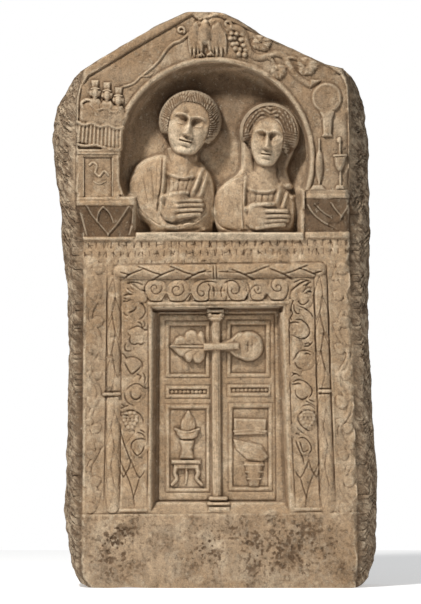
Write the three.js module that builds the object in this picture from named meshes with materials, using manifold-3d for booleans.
// A carved grave stele of the door-stone kind, cut from one block of marble: a gabled top over an arched
// niche with two half figures, an inscription band, and a false door in a carved frame over a plain plinth.
//
// Millimetres. +X runs to the right as seen from the front, +Y runs into the stone and +Z is up.
// The origin is the centre of the block's box, at the level that it stands on.
//
// Relief is drawn flat, with x across, y up from the ground and z towards the viewer, above the ground that
// it is carved on. set() then stands it up on the stone at a depth, counted from the foremost plane.
import * as THREE from "three";
import { mergeVertices } from "three/addons/utils/BufferGeometryUtils.js";
import Module from "manifold-3d";

const wasm = await Module();
wasm.setup();

// Driving sizes of the block
const HEIGHT = 1850;
const WIDTH = 1045;
const THICKNESS = 290;

// Depths of the carved grounds, behind the foremost plane
const UPPER_FACE = 18; // gable and spandrels
const LOWER_FACE = 50; // inscription band
const STRIP_GROUND = 56; // sunk ground of the vine strips and the scroll frieze
const PLINTH_FACE = 44;
const DOOR_FACE = 98; // stiles and rails of the two door leaves
const NICHE_BACK = 114;
const ROOT = 14; // how far a relief piece reaches into its ground
const CLEAR = 260; // how far a cutting tool reaches in front of its ground

// Heights of the main lines
const PLINTH_TOP = 240;
const DOOR_TOP = 900;
const LINTEL_TOP = 1040;
const LEDGE = 1142; // where the half figures are cut off
const CAPITAL_FOOT = 1132;
const CAPITAL_TOP = 1228;

// The niche: the centre and radius of its arch, its straight sides, and where the arch meets them
const NICHE = { x: -5, y: 1378, r: 310, left: -262, right: 282, hip: 1268 };

// The door
const DOOR = { left: -204, right: 219, middle: 8 };

const lerp = THREE.MathUtils.lerp;
const clamp = THREE.MathUtils.clamp;

/** Straight stretches between the stations [at, value], which rise. */
function along(stations, at) {
  const last = stations.length - 1;
  let i = 0;
  while (i < last - 1 && at > stations[i + 1][0]) i += 1;
  const [a, from] = stations[i];
  const [b, to] = stations[i + 1];
  return lerp(from, to, clamp((at - a) / (b - a), 0, 1));
}

/** A repeatable value from -1 to 1 for a whole number. */
function chance(n) {
  const s = Math.sin(n * 127.1 + 311.7) * 43758.5453;
  return 2 * (s - Math.floor(s)) - 1;
}

// ---------------------------------------------------------------- solids

/** The closed solid of a geometry. */
function solidOf(geometry) {
  const bare = geometry.index ? geometry.toNonIndexed() : geometry.clone();
  bare.deleteAttribute("normal");
  bare.deleteAttribute("uv");
  const merged = mergeVertices(bare, 1e-3);
  return new wasm.Manifold(
    new wasm.Mesh({
      numProp: 3,
      vertProperties: merged.attributes.position.array,
      triVerts: new Uint32Array(merged.index.array),
    }),
  );
}

/**
 * The hand-cut layout isn't square: below the ledge the door frame spreads downwards and its lintel rises
 * to the right.
 */
function settle(x, y) {
  const below = clamp((LEDGE - y) / (LEDGE - PLINTH_TOP), 0, 1);
  const spread = x > 0 ? 0.066 : 0.04;
  const inFrame = clamp((CAPITAL_FOOT - y) / 60, 0, 1) * clamp(y / PLINTH_TOP, 0, 1);
  return [x * (1 + spread * below), y + x * inFrame * lerp(0.015, 0.006, below)];
}

/** Stands a flat-drawn geometry up on the stone, with its z = 0 at a depth. */
function set(geometry, depth) {
  const p = geometry.attributes.position;
  for (let i = 0; i < p.count; i += 1) {
    const [x, z] = settle(p.getX(i), p.getY(i));
    p.setXYZ(i, x, depth - THICKNESS / 2 - p.getZ(i), z);
  }
  return solidOf(geometry);
}

/** A loop of points, counter-clockwise, without points on each other or in the middle of a straight. */
function outlineOf(shape, curveSegments = 6) {
  const apart = 0.8;
  const kept = [];
  for (const p of shape.getPoints(curveSegments)) {
    if (kept.length === 0 || p.distanceTo(kept[kept.length - 1]) > apart) kept.push(p);
  }
  while (kept.length > 3 && kept[0].distanceTo(kept[kept.length - 1]) <= apart) kept.pop();
  const bends = (p, i) => {
    const before = kept[(i + kept.length - 1) % kept.length];
    const chord = kept[(i + 1) % kept.length].clone().sub(before);
    return Math.abs(chord.cross(p.clone().sub(before))) > 0.02 * chord.length();
  };
  const loop = kept.filter(bends);
  return THREE.ShapeUtils.isClockWise(loop) ? loop.reverse() : loop;
}

/** For each point of a loop, the way in from the edge, and how far it is to the other side. */
function waysIn(loop) {
  const n = loop.length;
  const inward = (a, b) => new THREE.Vector2(a.y - b.y, b.x - a.x).normalize();
  return loop.map((p, i) => {
    const n1 = inward(loop[(i + n - 1) % n], p);
    const n2 = inward(p, loop[(i + 1) % n]);
    const way = n1.clone().add(n2).divideScalar(Math.max(0.4, 1 + n1.dot(n2)));
    let room = Infinity;
    for (let k = 1; k + 1 < n; k += 1) {
      const a = loop[(i + k) % n];
      const side = loop[(i + k + 1) % n].clone().sub(a);
      const det = way.cross(side);
      const s = a.clone().sub(p).cross(side) / det;
      const u = a.clone().sub(p).cross(way) / det;
      if (s > 0 && u >= 0 && u <= 1) room = Math.min(room, s);
    }
    return { way, room: 0.42 * room };
  });
}

/** A closed solid through levels [inset, z] of one loop, from its underside to its front. */
function stacked(loop, levels) {
  const ways = waysIn(loop);
  const n = loop.length;
  const position = [];
  for (const [inset, z] of levels) {
    loop.forEach((p, i) => {
      const q = p.clone().addScaledVector(ways[i].way, Math.min(inset, ways[i].room));
      position.push(q.x, q.y, z);
    });
  }
  const index = [];
  for (let r = 0; r + 1 < levels.length; r += 1) {
    for (let i = 0; i < n; i += 1) {
      const a = r * n + i;
      const b = r * n + ((i + 1) % n);
      index.push(a, b, b + n, a, b + n, a + n);
    }
  }
  const last = (levels.length - 1) * n;
  for (const [a, b, c] of THREE.ShapeUtils.triangulateShape(loop.map((p) => p.clone()), [])) {
    index.push(a, c, b, last + a, last + b, last + c);
  }
  const g = new THREE.BufferGeometry();
  g.setAttribute("position", new THREE.Float32BufferAttribute(position, 3));
  g.setIndex(index);
  return g;
}

/** A flat shape raised to a height, with its front edge chamfered by that much. */
function raised(shape, height, edge = 0) {
  const levels = [
    [0, -ROOT],
    [0, height - edge],
  ];
  if (edge > 0) levels.push([edge, height]);
  return stacked(outlineOf(shape), levels);
}

/** A tool that takes a shape away from a depth below the ground; its floor may be narrower. */
function hollow(shape, depth, taper = 0) {
  const levels = [
    [0, taper - depth],
    [0, CLEAR],
  ];
  if (taper > 0) levels.unshift([taper, -depth]);
  return stacked(outlineOf(shape), levels);
}

/** A closed polygon. */
function polygon(points) {
  return new THREE.Shape(points.map(([x, y]) => new THREE.Vector2(x, y)));
}

/** An upright rectangle. */
function rectangle(left, right, bottom, top) {
  return polygon([
    [left, bottom],
    [right, bottom],
    [right, top],
    [left, top],
  ]);
}

/** A ridge that follows a curve: a band with a crest, width(t) wide at the ground and height(t) high. */
function ridge(curve, width, height, steps, foot = 4) {
  const position = [];
  const index = [];
  for (let i = 0; i <= steps; i += 1) {
    const t = i / steps;
    const p = curve.getPoint(t);
    const d = curve.getTangent(t);
    const half = (width(t) / 2) * (1 + foot / height(t));
    position.push(p.x + d.y * half, p.y - d.x * half, -foot);
    position.push(p.x, p.y, height(t));
    position.push(p.x - d.y * half, p.y + d.x * half, -foot);
  }
  for (let i = 0; i < steps; i += 1) {
    for (let k = 0; k < 3; k += 1) {
      const a = 3 * i + k;
      const b = 3 * i + ((k + 1) % 3);
      index.push(a, a + 3, b + 3, a, b + 3, b);
    }
  }
  const e = 3 * steps;
  index.push(0, 1, 2, e, e + 2, e + 1);
  const g = new THREE.BufferGeometry();
  g.setAttribute("position", new THREE.Float32BufferAttribute(position, 3));
  g.setIndex(index);
  return g;
}

/** An outline raised to a low edge and from there to one peak. */
function peaked(points, low, high, peak) {
  const clockwise = THREE.ShapeUtils.isClockWise(points.map(([x, y]) => new THREE.Vector2(x, y)));
  const loop = clockwise ? [...points].reverse() : points;
  const n = loop.length;
  const mid = peak ?? [0, 1].map((k) => loop.reduce((sum, p) => sum + p[k], 0) / n);
  const position = [];
  for (const z of [-ROOT, low]) for (const [x, y] of loop) position.push(x, y, z);
  position.push(...mid, high, ...mid, -ROOT);
  const index = [];
  for (let i = 0; i < n; i += 1) {
    const j = (i + 1) % n;
    index.push(i, j, n + j, i, n + j, n + i);
    index.push(n + i, n + j, 2 * n, j, i, 2 * n + 1);
  }
  const g = new THREE.BufferGeometry();
  g.setAttribute("position", new THREE.Float32BufferAttribute(position, 3));
  g.setIndex(index);
  return g;
}

/** A low dome on the ground. */
function dome(x, y, rx, ry, height, around = 8, rings = 4) {
  const g = new THREE.SphereGeometry(1, around, rings);
  g.rotateX(Math.PI / 2);
  return g.scale(rx, ry, height).translate(x, y, 0);
}

/** A small round boss with a peak. */
function boss(x, y, r, height, sides = 6) {
  const points = [];
  for (let i = 0; i < sides; i += 1) {
    const a = (2 * Math.PI * (i + 0.5)) / sides;
    points.push([x + r * Math.cos(a), y + r * Math.sin(a)]);
  }
  return peaked(points, 0.45 * height, height);
}

/** A slab on the ground whose front is modelled by height(x, y) over a net of cells. */
function modelled(left, right, bottom, top, across, up, height) {
  const position = [];
  const index = [];
  const at = (i, j) => j * (across + 1) + i;
  for (let j = 0; j <= up; j += 1) {
    for (let i = 0; i <= across; i += 1) {
      const x = lerp(left, right, i / across);
      const y = lerp(bottom, top, j / up);
      position.push(x, y, height(x, y));
    }
  }
  for (let j = 0; j < up; j += 1) {
    for (let i = 0; i < across; i += 1) {
      index.push(at(i, j), at(i + 1, j), at(i + 1, j + 1), at(i, j), at(i + 1, j + 1), at(i, j + 1));
    }
  }
  const rim = [];
  for (let i = 0; i < across; i += 1) rim.push(at(i, 0));
  for (let j = 0; j < up; j += 1) rim.push(at(across, j));
  for (let i = across; i > 0; i -= 1) rim.push(at(i, up));
  for (let j = up; j > 0; j -= 1) rim.push(at(0, j));
  const base = position.length / 3;
  for (const k of rim) position.push(position[3 * k], position[3 * k + 1], -ROOT);
  position.push((left + right) / 2, (bottom + top) / 2, -ROOT);
  const n = rim.length;
  for (let i = 0; i < n; i += 1) {
    const j = (i + 1) % n;
    index.push(rim[i], base + i, base + j, rim[i], base + j, rim[j]);
    index.push(base + j, base + i, base + n);
  }
  const g = new THREE.BufferGeometry();
  g.setAttribute("position", new THREE.Float32BufferAttribute(position, 3));
  g.setIndex(index);
  return g;
}

/** A wave that runs up, swinging to both sides of x. */
class Wave extends THREE.Curve {
  constructor(x, bottom, top, swing, swings, phase) {
    super();
    Object.assign(this, { x, bottom, top, swing, swings, phase });
  }
  getPoint(t, target = new THREE.Vector2()) {
    const side = Math.sin(Math.PI * (this.swings * t + this.phase));
    return target.set(this.x + this.swing * side, lerp(this.bottom, this.top, t));
  }
}

/** A spiral that winds in to its centre. */
class Spiral extends THREE.Curve {
  constructor(x, y, radius, eye, start, turns) {
    super();
    Object.assign(this, { x, y, radius, eye, start, turns });
  }
  getPoint(t, target = new THREE.Vector2()) {
    const r = lerp(this.radius, this.eye, t);
    const a = this.start + 2 * Math.PI * this.turns * t;
    return target.set(this.x + r * Math.cos(a), this.y + r * Math.sin(a));
  }
}

/** A leaf with pointed lobes, the middle one turned to an angle. */
function leaf(x, y, radius, lobes, tip, height, depth = 0.38) {
  const outline = [];
  for (let i = 0; i < 2 * lobes; i += 1) {
    const a = tip + (Math.PI * i) / lobes;
    const r = radius * (i % 2 ? 1 - depth : 1);
    outline.push([x + r * Math.cos(a), y + r * Math.sin(a)]);
  }
  return peaked(outline, 0.5 * height, height, [x, y]);
}

/** A long leaf with a sharp tip, from a root to a tip. */
function blade(x0, y0, x1, y1, width, height) {
  const dx = x1 - x0;
  const dy = y1 - y0;
  const long = Math.hypot(dx, dy);
  const at = (s, side) => [
    x0 + dx * s - (dy / long) * side * width,
    y0 + dy * s + (dx / long) * side * width,
  ];
  return peaked([at(0, 0), at(0.42, -0.5), at(1, 0), at(0.42, 0.5)], 0.4 * height, height, at(0.42, 0));
}

// ---------------------------------------------------------------- the block

const SIDE = {
  // Outermost line of the rough sides, and the line where the dressed face ends: [height, x]
  left: [
    [0, -407],
    [14, -434],
    [60, -458],
    [227, -486],
    [540, -478],
    [893, -473],
    [1085, -487],
    [1261, -504],
    [1430, -522.5],
    [1540, -511],
    [1613, -474],
    [1661, -433],
  ],
  leftFace: [
    [0, -400],
    [60, -432],
    [1110, -426],
    [1200, -436],
    [1240, -450],
    [1560, -446],
    [1661, -424],
  ],
  right: [
    [0, 462],
    [29, 495],
    [109, 517],
    [189, 522.5],
    [285, 522.5],
    [605, 507],
    [893, 495],
    [1174, 502],
    [1373, 495],
    [1510, 486],
    [1597, 462],
    [1668, 413],
  ],
  rightFace: [
    [0, 452],
    [60, 458],
    [780, 446],
    [1100, 436],
    [1560, 430],
    [1668, 408],
  ],
};
const EAVES = { left: [-433, 1661], right: [413, 1668] };
const RAKE_SLOPE = 5; // how much lower the gable lies at the dressed face than behind it
const APEX = [
  [-103, 1846],
  [-74, 1841],
  [-22, HEIGHT],
  [32, 1843],
];

/** Depth of the dressed face at a height. */
function faceDepth(z) {
  return along(
    [
      [0, PLINTH_FACE],
      [PLINTH_TOP, LOWER_FACE],
      [CAPITAL_FOOT, LOWER_FACE],
      [CAPITAL_TOP, UPPER_FACE],
      [HEIGHT, UPPER_FACE],
    ],
    z,
  );
}

/** One ring round the block: flare 0 is the dressed face's edge and 1 the outermost line. */
function ringPoints(flare) {
  const levels = [0, 20, 60, 130, 230, 360, 500, 660, 820, 980, 1130, 1240, 1350, 1460, 1550, 1610];
  const side = (edge, face) => (z) => [lerp(along(face, z), along(edge, z), flare), z];
  const left = levels.map(side(SIDE.left, SIDE.leftFace));
  const right = levels.map(side(SIDE.right, SIDE.rightFace));
  const rake = (from, to, n) =>
    Array.from({ length: n }, (_, i) => [
      lerp(from[0], to[0], i / n),
      lerp(from[1], to[1], i / n) - RAKE_SLOPE * (1 - flare),
    ]);
  const gable = [
    ...rake(EAVES.right, APEX[3], 4),
    ...APEX.slice(1).reverse().map(([x, z]) => [x, z - RAKE_SLOPE * (1 - flare)]),
    ...rake(APEX[0], EAVES.left, 4),
    [EAVES.left[0], EAVES.left[1] - RAKE_SLOPE * (1 - flare)],
  ];
  const foot = [
    [-330, 3],
    [-290, 11],
    [-255, 11],
    [-225, 3],
    [-205, 0],
  ];
  return [...foot, ...right, ...gable, ...left.reverse()];
}

const FOOT_BAND = 20; // below this the outline keeps its place, so that the block stands flat
const GABLE_BAND = 1600; // above this the roughness only takes away

/** The rough block: rings of points from the front plane to the back, each joined to the next. */
function block() {
  const rings = [
    { flare: 0, behind: () => -30, rough: 0 },
    { flare: 0, behind: (z) => faceDepth(z), rough: 0 },
    { flare: 0.55, behind: (z) => faceDepth(z) + 28, rough: 5 },
    { flare: 0.9, behind: (z) => faceDepth(z) + 62, rough: 6 },
    { flare: 1, behind: () => 165, rough: 2 },
    { flare: 0.97, behind: () => 235, rough: 7 },
    { flare: 0.72, behind: () => THICKNESS, rough: 4 },
  ];
  const position = [];
  let count = 0;
  rings.forEach(({ flare, behind, rough }, r) => {
    const points = ringPoints(flare);
    count = points.length;
    points.forEach(([x, z], i) => {
      const standing = z > FOOT_BAND;
      const gable = z > GABLE_BAND;
      const inward = rough * Math.abs(chance(r * 97 + i));
      const lift = standing && !gable ? rough * chance(r * 53 + i * 7) : 0;
      const sunk = r === 0 || r === rings.length - 1 ? 0 : rough * chance(r * 31 + i * 3);
      position.push(x - Math.sign(x) * (standing ? inward : 0));
      position.push(behind(z) + sunk - THICKNESS / 2, z + lift - (gable ? inward : 0));
    });
  });
  const index = [];
  for (let r = 0; r + 1 < rings.length; r += 1) {
    for (let i = 0; i < count; i += 1) {
      const a = r * count + i;
      const b = r * count + ((i + 1) % count);
      index.push(a, a + count, b + count, a, b + count, b);
    }
  }
  const cap = (r, flip) => {
    const outline = ringPoints(rings[r].flare).map(([x, z]) => new THREE.Vector2(x, z));
    for (const [a, b, c] of THREE.ShapeUtils.triangulateShape(outline, [])) {
      const k = r * count;
      index.push(k + a, k + (flip ? c : b), k + (flip ? b : c));
    }
  };
  cap(0, false);
  cap(rings.length - 1, true);
  const g = new THREE.BufferGeometry();
  g.setAttribute("position", new THREE.Float32BufferAttribute(position, 3));
  g.setIndex(index);
  return solidOf(g);
}

/** What is taken away in front of the dressed face, as one profile run across the block. */
function dressing() {
  const profile = polygon([
    [-THICKNESS, -60],
    [PLINTH_FACE, -60],
    [PLINTH_FACE, PLINTH_TOP],
    [LOWER_FACE, PLINTH_TOP + 4],
    [LOWER_FACE, CAPITAL_FOOT + 60],
    [UPPER_FACE, CAPITAL_FOOT + 70],
    [UPPER_FACE, HEIGHT + 60],
    [-THICKNESS, HEIGHT + 60],
  ]);
  const g = new THREE.ExtrudeGeometry(profile, { depth: 2 * WIDTH, bevelEnabled: false });
  const p = g.attributes.position;
  for (let i = 0; i < p.count; i += 1) {
    const [depth, up, across] = [p.getX(i), p.getY(i), p.getZ(i)];
    p.setXYZ(i, across - WIDTH, depth - THICKNESS / 2, up);
  }
  return solidOf(g);
}

/** The outline of the niche, a horseshoe arch that stands on the ledge. */
function nicheOutline(grow = 0, foot = LEDGE) {
  const r = NICHE.r + grow;
  const turn = Math.asin((NICHE.y - NICHE.hip) / r);
  const shape = new THREE.Shape();
  shape.moveTo(NICHE.left - grow, foot);
  shape.lineTo(NICHE.right + grow, foot);
  shape.lineTo(NICHE.right + grow, NICHE.hip - 2);
  shape.lineTo(NICHE.x + r * Math.cos(turn), NICHE.hip);
  shape.absarc(NICHE.x, NICHE.y, r, -turn, Math.PI + turn, false);
  shape.lineTo(NICHE.left - grow, NICHE.hip - 2);
  shape.closePath();
  return shape;
}

/** The tool that cuts the niche: its walls curve round into its back. */
function nicheTool() {
  const depth = NICHE_BACK - UPPER_FACE;
  return stacked(outlineOf(nicheOutline(), 19), [
    [60, -depth],
    [20, -0.85 * depth],
    [4, -0.45 * depth],
    [0, CLEAR],
  ]);
}

// ---------------------------------------------------------------- relief of the upper zone

/** A smooth curve through points. */
function through(points) {
  return new THREE.SplineCurve(points.map(([x, y]) => new THREE.Vector2(x, y)));
}

/** A stem along points, thinner at its end. */
function stem(points, width, height, steps = 2 * points.length, thin = 0.4) {
  return ridge(through(points), (t) => width * (1 - thin * t), () => height, steps);
}

/** The plate whose edge is left as a rim when the niche is cut, the rakes of the gable and the edge bands. */
function upperFrame() {
  const high = 9;
  const band = (points, w) => ridge(through(points), () => w, () => high, 3 * points.length - 3);
  const rightEdge = [
    [13, 1830], [182, 1754], [336, 1680], [387, 1658], [419, 1610], [429, 1469], [429, 1283],
  ];
  return [
    raised(nicheOutline(18, 1236), high, 3),
    band([[-109, 1824], [-256, 1741], [-413, 1645]], 20),
    band([[-429, 1632], [-432, 1469], [-435, 1264]], 16),
    band(rightEdge, 20),
  ].map((g) => set(g, UPPER_FACE));
}

/** An eagle at the top of the arch, wings folded and head lost. */
function eagle() {
  const wing = (points) => stem(points, 16, 12, 3);
  return [
    dome(-35, 1779, 20, 36, 19, 8, 6),
    peaked([[-51, 1747], [-35, 1747], [-35, 1709], [-58, 1706]], 8, 16),
    peaked([[-26, 1747], [-13, 1747], [3, 1709], [-26, 1706]], 8, 16),
    wing([[-58, 1808], [-67, 1757], [-58, 1709]]),
    wing([[-74, 1792], [-86, 1750], [-77, 1709]]),
    wing([[-10, 1808], [0, 1757], [-6, 1712]]),
    wing([[6, 1798], [19, 1750], [10, 1712]]),
    wing([[22, 1782], [38, 1747], [29, 1712]]),
  ].map((g) => set(g, UPPER_FACE));
}

/** A bunch of grapes in rows, from the top down. */
function grapes(x, y, rows, pitch, lean = 0) {
  const parts = [];
  rows.forEach((n, row) => {
    for (let i = 0; i < n; i += 1) {
      const across = x + (i - (n - 1) / 2) * pitch + lean * row;
      parts.push(boss(across, y - row * pitch * 0.9, pitch * 0.48, 13, 5));
    }
  });
  return parts;
}

/** The vine in the gable: its stem, leaves and grapes. */
function gableVine() {
  const leftStem = [
    [-288, 1613], [-240, 1638], [-205, 1667], [-182, 1693], [-144, 1738], [-112, 1757], [-86, 1779],
  ];
  const rightStem = [
    [45, 1789], [90, 1786], [99, 1741], [118, 1702], [150, 1693], [176, 1709], [208, 1715], [234, 1699],
  ];
  return [
    stem(leftStem, 16, 9, 10),
    stem(rightStem, 15, 12, 14, 0.2),
    stem([[234, 1699], [246, 1667], [266, 1638], [294, 1610], [330, 1619]], 12, 12, 8),
    stem([[176, 1702], [186, 1680], [195, 1661]], 11, 10, 2),
    boss(-109, 1789, 15, 12, 8),
    boss(42, 1808, 15, 12, 8),
    leaf(154, 1750, 38, 5, -1.2, 13),
    leaf(202, 1658, 31, 5, -1.8, 13),
    leaf(288, 1680, 40, 5, 0.4, 13),
    peaked([[330, 1648], [342, 1616], [301, 1600]], 6, 13),
    ...grapes(70, 1773, [3, 3, 2, 1], 21, 1),
  ].map((g) => set(g, UPPER_FACE));
}

/** Three small figures in crowns and pleated dresses, over a framed panel. */
function figures() {
  const parts = [];
  const drapery = [
    [-426, 1552], [-400, 1565], [-330, 1549], [-291, 1526],
    [-285, 1507], [-298, 1469], [-368, 1475], [-438, 1494],
  ];
  for (const [x, y] of [[-384, 1590], [-346, 1584], [-310, 1568]]) {
    parts.push(boss(x, y, 17, 19));
    parts.push(raised(rectangle(x - 13, x + 13, y + 14, y + 40), 18, 3));
  }
  parts.push(
    raised(polygon(drapery), 17, 6),
    raised(polygon([[-432, 1501], [-298, 1482], [-298, 1411], [-448, 1427]]), 9),
    stem([[-426, 1555], [-413, 1571], [-394, 1565]], 16, 18, 2),
    boss(-291, 1514, 12, 17),
    raised(rectangle(-442, -304, 1392, 1408), 12, 3),
    raised(rectangle(-438, -419, 1254, 1389), 8, 2),
    raised(rectangle(-330, -307, 1254, 1389), 8, 2),
    raised(rectangle(-432, -314, 1373, 1389), 8, 2),
    stem([[-400, 1357], [-378, 1331], [-352, 1350], [-339, 1322]], 12, 7, 5),
  );
  for (let i = 0; i < 6; i += 1) {
    const pleat = new THREE.LineCurve(
      new THREE.Vector2(-426 + i * 23, 1501 - i * 4),
      new THREE.Vector2(-435 + i * 25, 1430 - i * 4),
    );
    parts.push(ridge(pleat, () => 17, () => 18, 1));
  }
  return parts.map((g) => set(g, UPPER_FACE));
}

/** A mirror, a spindle, a distaff and a jar beside the arch. */
function toiletries() {
  return [
    ridge(new Spiral(358, 1573, 43, 43, Math.PI / 2, 0.995), () => 16, () => 12, 14),
    raised(polygon([[333, 1526], [387, 1526], [371, 1504], [374, 1453], [346, 1453], [349, 1504]]), 10, 4),
    raised(rectangle(328, 342, 1283, 1437), 8, 3),
    dome(336, 1357, 14, 48, 14, 6, 4),
    raised(polygon([[301, 1277], [352, 1277], [339, 1296], [314, 1296]]), 10, 3),
    raised(rectangle(390, 403, 1283, 1443), 8, 3),
    peaked([[381, 1389], [419, 1389], [413, 1357], [403, 1338], [394, 1338], [384, 1357]], 9, 16),
  ].map((g) => set(g, UPPER_FACE));
}

// ---------------------------------------------------------------- the half figures

/** Lays a flat-drawn geometry over a curved body. */
function draped(geometry, over) {
  const p = geometry.attributes.position;
  for (let i = 0; i < p.count; i += 1) {
    p.setZ(i, p.getZ(i) + over(p.getX(i), p.getY(i)));
  }
  return geometry;
}

/** A body: an outline that swells in front to a height, highest at its middle. */
function torso(outline, mid, reach, height) {
  const swell = (x, y) => {
    const far = Math.hypot((x - mid[0]) / reach[0], (y - mid[1]) / reach[1]);
    return height * (1 - 0.42 * Math.min(1, far) ** 2);
  };
  const curve = through([...outline, outline[0]]);
  const loop = outlineOf(new THREE.Shape(curve.getPoints(20)));
  const g = stacked(loop, [
    [0, -ROOT],
    [3, 0.6],
    [18, 0.93],
    [52, 1],
  ]);
  const p = g.attributes.position;
  for (let i = 0; i < p.count; i += 1) {
    if (p.getZ(i) > 0) p.setZ(i, p.getZ(i) * swell(p.getX(i), p.getY(i)));
  }
  return { g, swell };
}

/** A calm, plain face: an oval with a brow, a nose, eyes, a mouth and a chin, w and h being half its size. */
function face(x, y, w, h, front) {
  const bump = (u, v, cu, cv, su, sv) => Math.exp(-(((u - cu) / su) ** 2) - ((v - cv) / sv) ** 2);
  const height = (px, py) => {
    const u = (px - x) / w;
    const v = (py - y) / h;
    const round = Math.sqrt(Math.max(0, 1 - 0.8 * u * u - 0.72 * v * v));
    const brow = 0.1 * bump(Math.abs(u), v, 0.4, 0.32, 0.35, 0.1);
    const socket = 0.1 * bump(Math.abs(u), v, 0.38, 0.12, 0.2, 0.12);
    const nose = 0.26 * bump(u, v, 0, -0.12, 0.14, 0.1) + 0.15 * bump(u, v, 0, 0.12, 0.11, 0.2);
    const lips = 0.09 * bump(u, v, 0, -0.42, 0.3, 0.07) + 0.08 * bump(u, v, 0, -0.8, 0.3, 0.12);
    return front * (0.35 + 0.55 * round + brow - socket + nose + lips);
  };
  const g = modelled(-1, 1, -1, 1, 8, 9, () => 1);
  const p = g.attributes.position;
  for (let i = 0; i < p.count; i += 1) {
    const [u, v] = [p.getX(i), p.getY(i)];
    const px = x + w * u * Math.sqrt(1 - 0.5 * v * v) * (1 - 0.1 * Math.max(0, -v));
    const py = y + h * v * Math.sqrt(1 - 0.5 * u * u);
    p.setXYZ(i, px, py, p.getZ(i) > 0 ? height(px, py) : -ROOT);
  }
  return g;
}

/** Hair round a head: a dome with lumps. */
function hair(x, y, rx, ry, height, lumps) {
  const g = dome(0, 0, 1, 1, 1, 14, 8);
  const merged = mergeVertices(g.deleteAttribute("normal").deleteAttribute("uv"), 1e-4);
  const p = merged.attributes.position;
  for (let i = 0; i < p.count; i += 1) {
    const k = p.getZ(i) > 0.05 ? 1 + lumps * chance(i + 5) : 1;
    p.setXYZ(i, x + rx * p.getX(i) * k, y + ry * p.getY(i) * k, height * p.getZ(i) * k);
  }
  return merged;
}

/** A hand laid flat on the chest: its back, four fingers and a thumb. */
function hand(back, fingers, thumb, thick, over, rise) {
  const finger = ([a, b]) => {
    const dx = b[0] - a[0];
    const dy = b[1] - a[1];
    const long = Math.hypot(dx, dy);
    const [across, up] = [(-dy / long) * thick, (dx / long) * thick];
    const at = (s, side) => [a[0] + dx * s + across * side, a[1] + dy * s + up * side];
    const outline = polygon([at(0, -0.47), at(0.9, -0.47), at(1, 0), at(0.9, 0.47), at(0, 0.47)]);
    return draped(raised(outline, rise), over);
  };
  return [draped(raised(polygon(back), rise - 3), over), ...fingers.map(finger), finger(thumb)];
}

/** Folds over a body, each one a ridge. */
function folds(lines, over, width = 13, height = 9) {
  return lines.map((points) => draped(stem(points, width, height, points.length), over));
}

/** The half figure on the left, short-haired, wrapped in a cloak with one hand in its fold. */
function leftFigure() {
  const outline = [
    [-176, 1395], [-214, 1379], [-256, 1357], [-278, 1293], [-266, 1226],
    [-224, 1168], [-202, 1139], [-112, 1139], [-26, 1139], [-6, 1181],
    [0, 1245], [-6, 1302], [-32, 1354], [-74, 1379], [-125, 1389],
  ];
  const body = torso(outline, [-122, 1251], [150, 150], 78);
  const over = (x, y) => body.swell(x, y) - 2;
  return [
    body.g,
    raised(polygon([[-157, 1411], [-51, 1411], [-45, 1322], [-163, 1322]]), 60, 26),
    hair(-82, 1506, 100, 104, 88, 0.018),
    face(-90, 1478, 65, 82, 100),
    ...folds([
      [[-166, 1379], [-176, 1315], [-182, 1245]],
      [[-134, 1315], [-131, 1264]],
      [[-99, 1312], [-96, 1261]],
      [[-163, 1344], [-112, 1318], [-51, 1338]],
    ], over),
    ...folds([
      [[-48, 1366], [-22, 1309], [-22, 1251], [-35, 1187]],
      [[-208, 1373], [-243, 1328], [-250, 1270], [-221, 1206]],
      [[-250, 1213], [-202, 1171], [-150, 1152], [-61, 1155], [-16, 1194]],
      [[-208, 1229], [-176, 1197], [-138, 1171], [-86, 1174], [-29, 1206]],
    ], over, 17, 14),
    ...hand(
      [[-182, 1251], [-166, 1270], [-118, 1264], [-106, 1187], [-157, 1181], [-182, 1206]],
      [
        [[-131, 1246], [-51, 1251]],
        [[-128, 1229], [-42, 1235]],
        [[-128, 1211], [-45, 1219]],
        [[-131, 1194], [-58, 1203]],
      ],
      [[-163, 1264], [-77, 1274]],
      16, over, 24,
    ),
  ].map((g) => set(g, NICHE_BACK));
}

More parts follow.
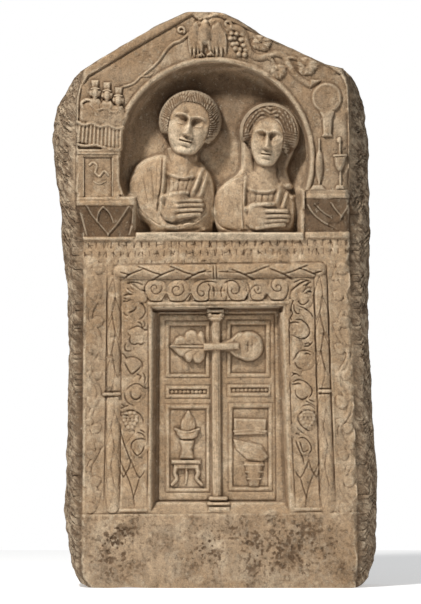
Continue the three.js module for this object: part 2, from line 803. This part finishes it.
/** The half figure on the right, veiled, with waved hair and a hand across the waist. */
function rightFigure() {
  const outline = [
    [90, 1379], [80, 1334], [42, 1309], [0, 1264], [-13, 1213], [3, 1162], [29, 1139], [138, 1139],
    [243, 1139], [259, 1206], [256, 1251], [237, 1296], [221, 1341], [221, 1379],
  ];
  const body = torso(outline, [134, 1232], [150, 150], 74);
  const over = (x, y) => body.swell(x, y) - 2;
  const veil = new THREE.Shape();
  veil.moveTo(86, 1302);
  veil.lineTo(67, 1437);
  veil.absarc(166, 1462, 100, Math.PI, 0, true);
  veil.lineTo(262, 1357);
  veil.lineTo(234, 1290);
  veil.closePath();
  const waves = [];
  for (const side of [-1, 1]) {
    for (const i of [0.5, 3.5]) {
      const at = (t) => [
        170 + side * (4 + (60 + 5 * i) * Math.sin(t)),
        1530 - 9 * i + 4 - (74 - 2 * i) * (1 - Math.cos(t)),
      ];
      waves.push(draped(stem([at(0), at(0.6), at(1.15), at(1.6)], 17, 11, 4), () => 82 - 3 * i));
    }
  }
  return [
    body.g,
    raised(veil, 58, 12),
    hair(166, 1459, 86, 92, 80, 0),
    raised(polygon([[115, 1379], [208, 1379], [214, 1290], [102, 1290]]), 60, 24),
    face(166, 1440, 51, 78, 96),
    ...folds([
      [[93, 1411], [90, 1354], [99, 1302], [138, 1277], [182, 1280], [218, 1306]],
      [[109, 1270], [109, 1229]],
      [[138, 1264], [138, 1235]],
      [[170, 1270], [173, 1238]],
    ], over),
    ...folds([
      [[83, 1315], [90, 1245], [90, 1158]],
      [[48, 1302], [19, 1258], [13, 1206], [35, 1155]],
      [[224, 1366], [234, 1309], [243, 1251], [243, 1168]],
    ], over, 17, 13),
    ...hand(
      [[90, 1226], [118, 1235], [157, 1226], [163, 1152], [112, 1146], [90, 1162]],
      [
        [[144, 1206], [230, 1210]],
        [[147, 1189], [234, 1194]],
        [[147, 1173], [230, 1178]],
        [[144, 1157], [221, 1160]],
      ],
      [[112, 1226], [186, 1235]],
      15, over, 24,
    ),
  ].map((g) => set(g, NICHE_BACK));
}

// ---------------------------------------------------------------- capitals, ledge and inscription band

/** A pilaster capital: an abacus over a hollow bell with pointed leaves. */
function capital(left, right, foot, top) {
  const bell = (x, y) => {
    const t = clamp((y - foot) / (top - 29 - foot), 0, 1);
    return 4 + 38 * t * t;
  };
  const at = (s, t) => [lerp(left, right, s), lerp(foot + 2, top - 30, t)];
  const vein = (points) => draped(stem(points, 13, 9, 4), (x, y) => bell(x, y) - 1);
  return [
    raised(rectangle(left, right, top - 28, top), LOWER_FACE, 5),
    modelled(left + 3, right - 3, foot, top - 26, 1, 6, bell),
    raised(rectangle(left + 4, right - 4, foot - 10, foot + 2), 14, 4),
    vein([at(0.08, 1), at(0.22, 0.45), at(0.46, 0.05)]),
    vein([at(0.92, 1), at(0.78, 0.45), at(0.54, 0.05)]),
    vein([at(0.5, 0.95), at(0.38, 0.45), at(0.48, 0.08)]),
    vein([at(0.5, 0.95), at(0.62, 0.45), at(0.52, 0.08)]),
  ].map((g) => set(g, LOWER_FACE));
}

/** The bevelled ledge that the half figures stand on. */
function ledge() {
  const front = (x, y) => (y > 1130 ? 24 : 3);
  return [set(modelled(-256, 282, 1116, LEDGE, 1, 1, front), LOWER_FACE)];
}

// ---------------------------------------------------------------- door frame

const COLUMNS = {
  // Upright bands of the frame at the lintel's height: [left, right]
  outerLeft: [-419, -358],
  torusLeft: [-342, -304],
  vineLeft: [-299, -222],
  vineRight: [241, 310],
  torusRight: [313, 362],
  outerRight: [373, 432],
};

/** Sinks the grounds of the strips and of the frieze. */
function frameHollows() {
  const sink = STRIP_GROUND - LOWER_FACE;
  return [
    rectangle(...COLUMNS.outerLeft, PLINTH_TOP + 6, LINTEL_TOP - 4),
    rectangle(...COLUMNS.outerRight, PLINTH_TOP + 6, LINTEL_TOP - 4),
    rectangle(COLUMNS.vineLeft[0], COLUMNS.vineRight[1], PLINTH_TOP + 6, 988),
  ].map((shape) => set(hollow(shape, sink), LOWER_FACE));
}

/** The door opening, narrowing a little to its floor. */
function doorway() {
  const opening = rectangle(DOOR.left, DOOR.right, PLINTH_TOP + 2, DOOR_TOP);
  return set(hollow(opening, DOOR_FACE - LOWER_FACE, 12), LOWER_FACE);
}

/** A rounded bar from one end to the other. */
function bar(x0, y0, x1, y1, wide, height) {
  const n = 4;
  const position = [];
  const index = [];
  const dx = x1 - x0;
  const dy = y1 - y0;
  const long = Math.hypot(dx, dy);
  for (const s of [0, 1]) {
    for (let i = 0; i <= n; i += 1) {
      const a = (Math.PI * i) / n;
      const off = (wide / 2) * Math.cos(a);
      position.push(x0 + dx * s - (dy / long) * off, y0 + dy * s + (dx / long) * off);
      position.push(i % n ? height * Math.sin(a) : -ROOT);
    }
  }
  const m = n + 1;
  for (let i = 0; i < m; i += 1) {
    const b = (i + 1) % m;
    index.push(i, b, b + m, i, b + m, i + m);
  }
  for (let i = 1; i + 1 < m; i += 1) index.push(0, i + 1, i, m, m + i, m + i + 1);
  const g = new THREE.BufferGeometry();
  g.setAttribute("position", new THREE.Float32BufferAttribute(position, 3));
  g.setIndex(index);
  return g;
}

/** A band of laurel: a crest in overlapping rows that point from its start to its end. */
function laurel(x0, y0, x1, y1, wide, height, rows) {
  const long = Math.hypot(x1 - x0, y1 - y0);
  const [dx, dy] = [(x1 - x0) / long, (y1 - y0) / long];
  const foot = 8;
  const half = (wide / 2) * (1 + foot / height) * 0.94;
  const position = [];
  const index = [];
  const last = 2 * rows;
  for (let k = 0; k <= last; k += 1) {
    const tip = k % 2;
    const s = Math.floor(k / 2) + 0.88 * tip;
    const chevron = k > 0 && k < last ? 0.55 : 0;
    const at = (across, ahead) => {
      const l = ((s + ahead) / (rows + 0.6)) * long;
      return [x0 + dx * l - dy * across, y0 + dy * l + dx * across];
    };
    const high = height * (tip ? 1.1 : 0.72);
    position.push(...at(-half, 0), -foot, ...at(-0.25 * wide, chevron * 0.6), 0.8 * high);
    position.push(...at(0.25 * wide, chevron * 0.6), 0.8 * high, ...at(half, 0), -foot);
    if (k === last) break;
    for (let c = 0; c < 4; c += 1) {
      const a = 4 * k + c;
      const b = 4 * k + ((c + 1) % 4);
      index.push(a, a + 4, b + 4, a, b + 4, b);
    }
  }
  const e = 4 * last;
  index.push(0, 1, 2, 0, 2, 3, e, e + 2, e + 1, e, e + 3, e + 2);
  const g = new THREE.BufferGeometry();
  g.setAttribute("position", new THREE.Float32BufferAttribute(position, 3));
  g.setIndex(index);
  return g;
}

/** The rounded frame round the door: laurel with ties, and a ridge along its outer side. */
function torusFrame() {
  const parts = [];
  const over = 1017; // the middle of the band over the door
  const wide = 42;
  const tie = [600, 642]; // the ties of the side bands
  parts.push(laurel(-307, over, -6, over, wide, 18, 5));
  parts.push(laurel(330, over, 14, over, wide, 18, 5));
  parts.push(raised(rectangle(-14, 22, over - 23, over + 23), 20));
  for (const [a, b] of [COLUMNS.torusLeft, COLUMNS.torusRight]) {
    const mid = (a + b) / 2;
    parts.push(laurel(mid, over + wide / 2, mid, tie[1] - 8, b - a, 17, 6));
    parts.push(raised(rectangle(a - 1, b + 1, ...tie), 19));
    parts.push(laurel(mid, tie[0] + 8, mid, PLINTH_TOP + 14, b - a, 17, 5));
  }
  const sideRidges = [[-358, -346], [363, 371]];
  for (const [a, b] of sideRidges) {
    parts.push(raised(rectangle(a, b, PLINTH_TOP + 8, LINTEL_TOP), 7));
  }
  return parts.map((g) => set(g, LOWER_FACE));
}

/** The running scroll over the door, from both sides to a palmette. */
function friezeScroll() {
  const parts = [];
  const high = 12;
  const base = 931; // where the palmette and the corner leaves start
  const volute = (x, turn) => {
    const y = 957;
    const r = 28;
    const start = turn > 0 ? Math.PI * 0.75 : Math.PI * 0.25;
    const curve = new Spiral(x, y, r, 0.4 * r, start, turn * 0.98);
    parts.push(ridge(curve, (t) => 14 - 4 * t, () => high, 8, 3));
    parts.push(boss(x, y, 0.24 * r, high, 5));
  };
  for (const x of [-195, -122, -42]) volute(x, 1);
  for (const x of [58, 131, 205]) volute(x, -1);
  const fan = (x, side, long, wide, tip) => {
    const out = side * Math.cos(tip);
    parts.push(blade(x + 5 * out, base, x + 0.9 * long * out, base + long * Math.sin(tip), wide, high));
  };
  for (const tip of [0.55, Math.PI / 2, 2.6]) fan(6, 1, 50, 15, tip);
  for (const [x, side] of [[-286, 1], [300, -1]]) {
    for (const tip of [1.5, 0.95, 0.4]) fan(x, side, 56, 20, tip);
  }
  return parts.map((g) => set(g, STRIP_GROUND));
}

/** The inner vines: a stem that winds past fruits, flowers and leaves, rising from a base of big leaves. */
function innerVines() {
  const parts = [];
  const vine = (left, right, whorls) => {
    const mid = (left + right) / 2;
    const half = (right - left) / 2;
    for (const [kind, x, y] of whorls) {
      const side = Math.sign(x - mid) || 1;
      if (kind === "leaf") parts.push(leaf(x, y, 31, 5, side > 0 ? 0.6 : 2.5, 13));
      if (kind === "flower") parts.push(leaf(x, y, 30, 5, 0.3, 13, 0.45));
      if (kind === "disc") parts.push(dome(x, y, 27, 27, 15, 8, 4));
      if (kind === "grapes") parts.push(...grapes(x, y + 18, [2, 3, 1], 20));
      parts.push(blade(x - side * 6, y - 74, x - side * 31, y + 4, 17, 12));
    }
    for (const [dx, y] of [[-0.5, 404], [0.5, 404], [0, 318]]) {
      parts.push(blade(mid + dx * half, y + 56, mid + dx * half, y - 46, 34, 14));
    }
    parts.push(raised(rectangle(left + 2, right - 2, PLINTH_TOP + 8, PLINTH_TOP + 22), 14, 3));
  };
  vine(...COLUMNS.vineLeft, [
    ["grapes", -275, 538],
    ["flower", -259, 630],
    ["leaf", -269, 714],
    ["flower", -253, 813],
    ["disc", -262, 899],
  ]);
  vine(...COLUMNS.vineRight, [
    ["grapes", 285, 541],
    ["disc", 269, 637],
    ["disc", 278, 733],
    ["flower", 269, 829],
    ["leaf", 278, 925],
  ]);
  return parts.map((g) => set(g, STRIP_GROUND));
}

/** The outer strips of ivy: a wavy stem with a leaf in each swing. */
function ivyStrips() {
  const parts = [];
  for (const [left, right, phase] of [[...COLUMNS.outerLeft, 0], [...COLUMNS.outerRight, 1]]) {
    const mid = (left + right) / 2;
    const swings = 6;
    const wave = new Wave(mid, PLINTH_TOP + 12, LINTEL_TOP - 16, 17, swings, phase);
    parts.push(ridge(wave, () => 10, () => 7, 15, 2));
    for (let i = 0; i < swings; i += 1) {
      const y = lerp(wave.bottom, wave.top, (i + 0.5) / swings);
      const x = mid + ((i + phase) % 2 ? 12 : -12);
      const heart = [[x - 15, y + 13], [x, y + 20], [x + 15, y + 13], [x, y - 22]];
      parts.push(peaked(heart, 4, 9, [x, y + 4]));
    }
  }
  return parts.map((g) => set(g, STRIP_GROUND));
}

/** The square-edged fillets between the frame's bands and over the door. */
function fillets() {
  const wide = 17;
  const top = DOOR_TOP + 18;
  return [
    raised(rectangle(DOOR.left - wide, DOOR.left, PLINTH_TOP + 4, top), 6),
    raised(rectangle(DOOR.right, DOOR.right + wide, PLINTH_TOP + 4, top), 6),
    raised(rectangle(DOOR.left - wide, DOOR.right + wide, DOOR_TOP - 2, top), 8),
  ].map((g) => set(g, STRIP_GROUND));
}

// ---------------------------------------------------------------- the door

const PANELS = {
  left: [
    [-160, -16, 675, 858],
    [-160, -16, 610, 648],
    [-160, -16, 307, 587],
  ],
  right: [
    [35, 163, 675, 861],
    [35, 163, 614, 654],
    [35, 163, 310, 592],
  ],
};
const PANEL_SINK = 12;

/** The sunk panels of both leaves. */
function panelHollows() {
  return [...PANELS.left, ...PANELS.right].map(([left, right, bottom, top]) =>
    set(hollow(rectangle(left, right, bottom, top), PANEL_SINK, 7), DOOR_FACE),
  );
}

/** The small column where the leaves meet. */
function colonnette() {
  const x = DOOR.middle;
  const shaft = 28;
  return [
    bar(x, 296, x, 874, shaft, 26),
    raised(rectangle(x - 20, x + 18, 848, 869), 28, 4),
    raised(rectangle(x - 25, x + 24, 867, 898), 34, 5),
    raised(rectangle(x - 22, x + 22, 278, 302), 28, 4),
    raised(rectangle(x - 30, x + 30, 243, 281), 36, 5),
  ].map((g) => set(g, DOOR_FACE));
}

/** The lock: a scalloped leaf plate, a bar across the column and a round plate. */
function lock() {
  const y = 773;
  const lobes = [[-22, 819], [-48, 829], [-64, 810], [-83, 822], [-99, 803], [-122, 806], [-131, 784]];
  const mirrored = lobes.map(([x, up]) => [x, 2 * y - up]).reverse();
  return [
    raised(polygon([...lobes, [-154, y], ...mirrored]), 11, 4),
    raised(rectangle(-150, -22, y - 5, y + 5), 16, 3),
    raised(rectangle(-38, 29, y - 15, y + 13), 38, 5),
    raised(polygon([[22, y - 11], [74, y - 20], [74, y + 22], [22, y + 11]]), 15, 4),
    raised(new THREE.Shape().absarc(109, y + 3, 47, 0, 2 * Math.PI, false), 14, 5),
    raised(rectangle(104, 112, y - 14, y + 22), 19, 2),
  ].map((g) => set(g, DOOR_FACE + PANEL_SINK));
}

/** The things in the lower panels: a lamp on a drum and a table, and a tablet, a bundle and a wool basket. */
function panelObjects() {
  return [
    peaked([[-106, 515], [-99, 554], [-86, 573], [-70, 547], [-74, 512]], 8, 15),
    raised(polygon([[-128, 515], [-112, 522], [-64, 512], [-51, 502], [-64, 477], [-112, 477]]), 14, 4),
    raised(polygon([[-115, 474], [-64, 474], [-77, 445], [-64, 413], [-115, 413], [-102, 445]]), 13, 4),
    raised(polygon([[-138, 410], [-48, 410], [-54, 384], [-131, 384]]), 15),
    stem([[-118, 387], [-128, 368], [-144, 346]], 15, 12, 3),
    stem([[-67, 387], [-58, 368], [-42, 346]], 15, 12, 3),
    raised(rectangle(-98, -85, 349, 387), 10),
    raised(polygon([[61, 538], [150, 541], [150, 490], [61, 490]]), 11, 4),
    raised(polygon([[61, 480], [144, 486], [150, 419], [74, 403]]), 11, 4),
    raised(polygon([[90, 426], [147, 426], [138, 326], [99, 326]]), 15, 4),
    raised(polygon([[86, 442], [150, 442], [147, 422], [90, 422]]), 18),
    raised(polygon([[91, 387], [144, 387], [142, 374], [93, 374]]), 18),
  ].map((g) => set(g, DOOR_FACE + PANEL_SINK));
}

// ---------------------------------------------------------------- the whole

const union = (solids) => wasm.Manifold.union(solids);

const carved = block()
  .subtract(dressing())
  .subtract(union(frameHollows()))
  .add(union([...fillets(), ...friezeScroll(), ...innerVines(), ...ivyStrips(), ...torusFrame()]))
  .subtract(doorway())
  .subtract(union(panelHollows()))
  .add(union([...upperFrame(), ...eagle(), ...gableVine(), ...figures(), ...toiletries()]))
  .add(union([...capital(-442, -262, 1138, 1254), ...capital(288, 432, 1142, 1277)]))
  .subtract(set(nicheTool(), UPPER_FACE))
  .add(union([...ledge(), ...colonnette(), ...lock(), ...panelObjects()]))
  .add(union([...leftFigure(), ...rightFigure()]));

/** The drawn mesh of a solid, turned back into a geometry. */
function geometryOf(solid) {
  const mesh = solid.getMesh();
  const g = new THREE.BufferGeometry();
  g.setAttribute("position", new THREE.Float32BufferAttribute(mesh.vertProperties, 3));
  g.setIndex(Array.from(mesh.triVerts));
  return g;
}

const stone = new THREE.MeshStandardMaterial({ name: "marble", color: 0xb09472, roughness: 0.85 });
const stele = new THREE.Mesh(geometryOf(carved), stone);
stele.name = "stele";
stele.geometry.computeBoundingBox();
const box = stele.geometry.boundingBox;
stele.geometry.translate(-(box.min.x + box.max.x) / 2, -(box.min.y + box.max.y) / 2, -box.min.z);

const assembly = new THREE.Group();
assembly.name = "carved_stone_stele";
assembly.add(stele);

export default assembly;
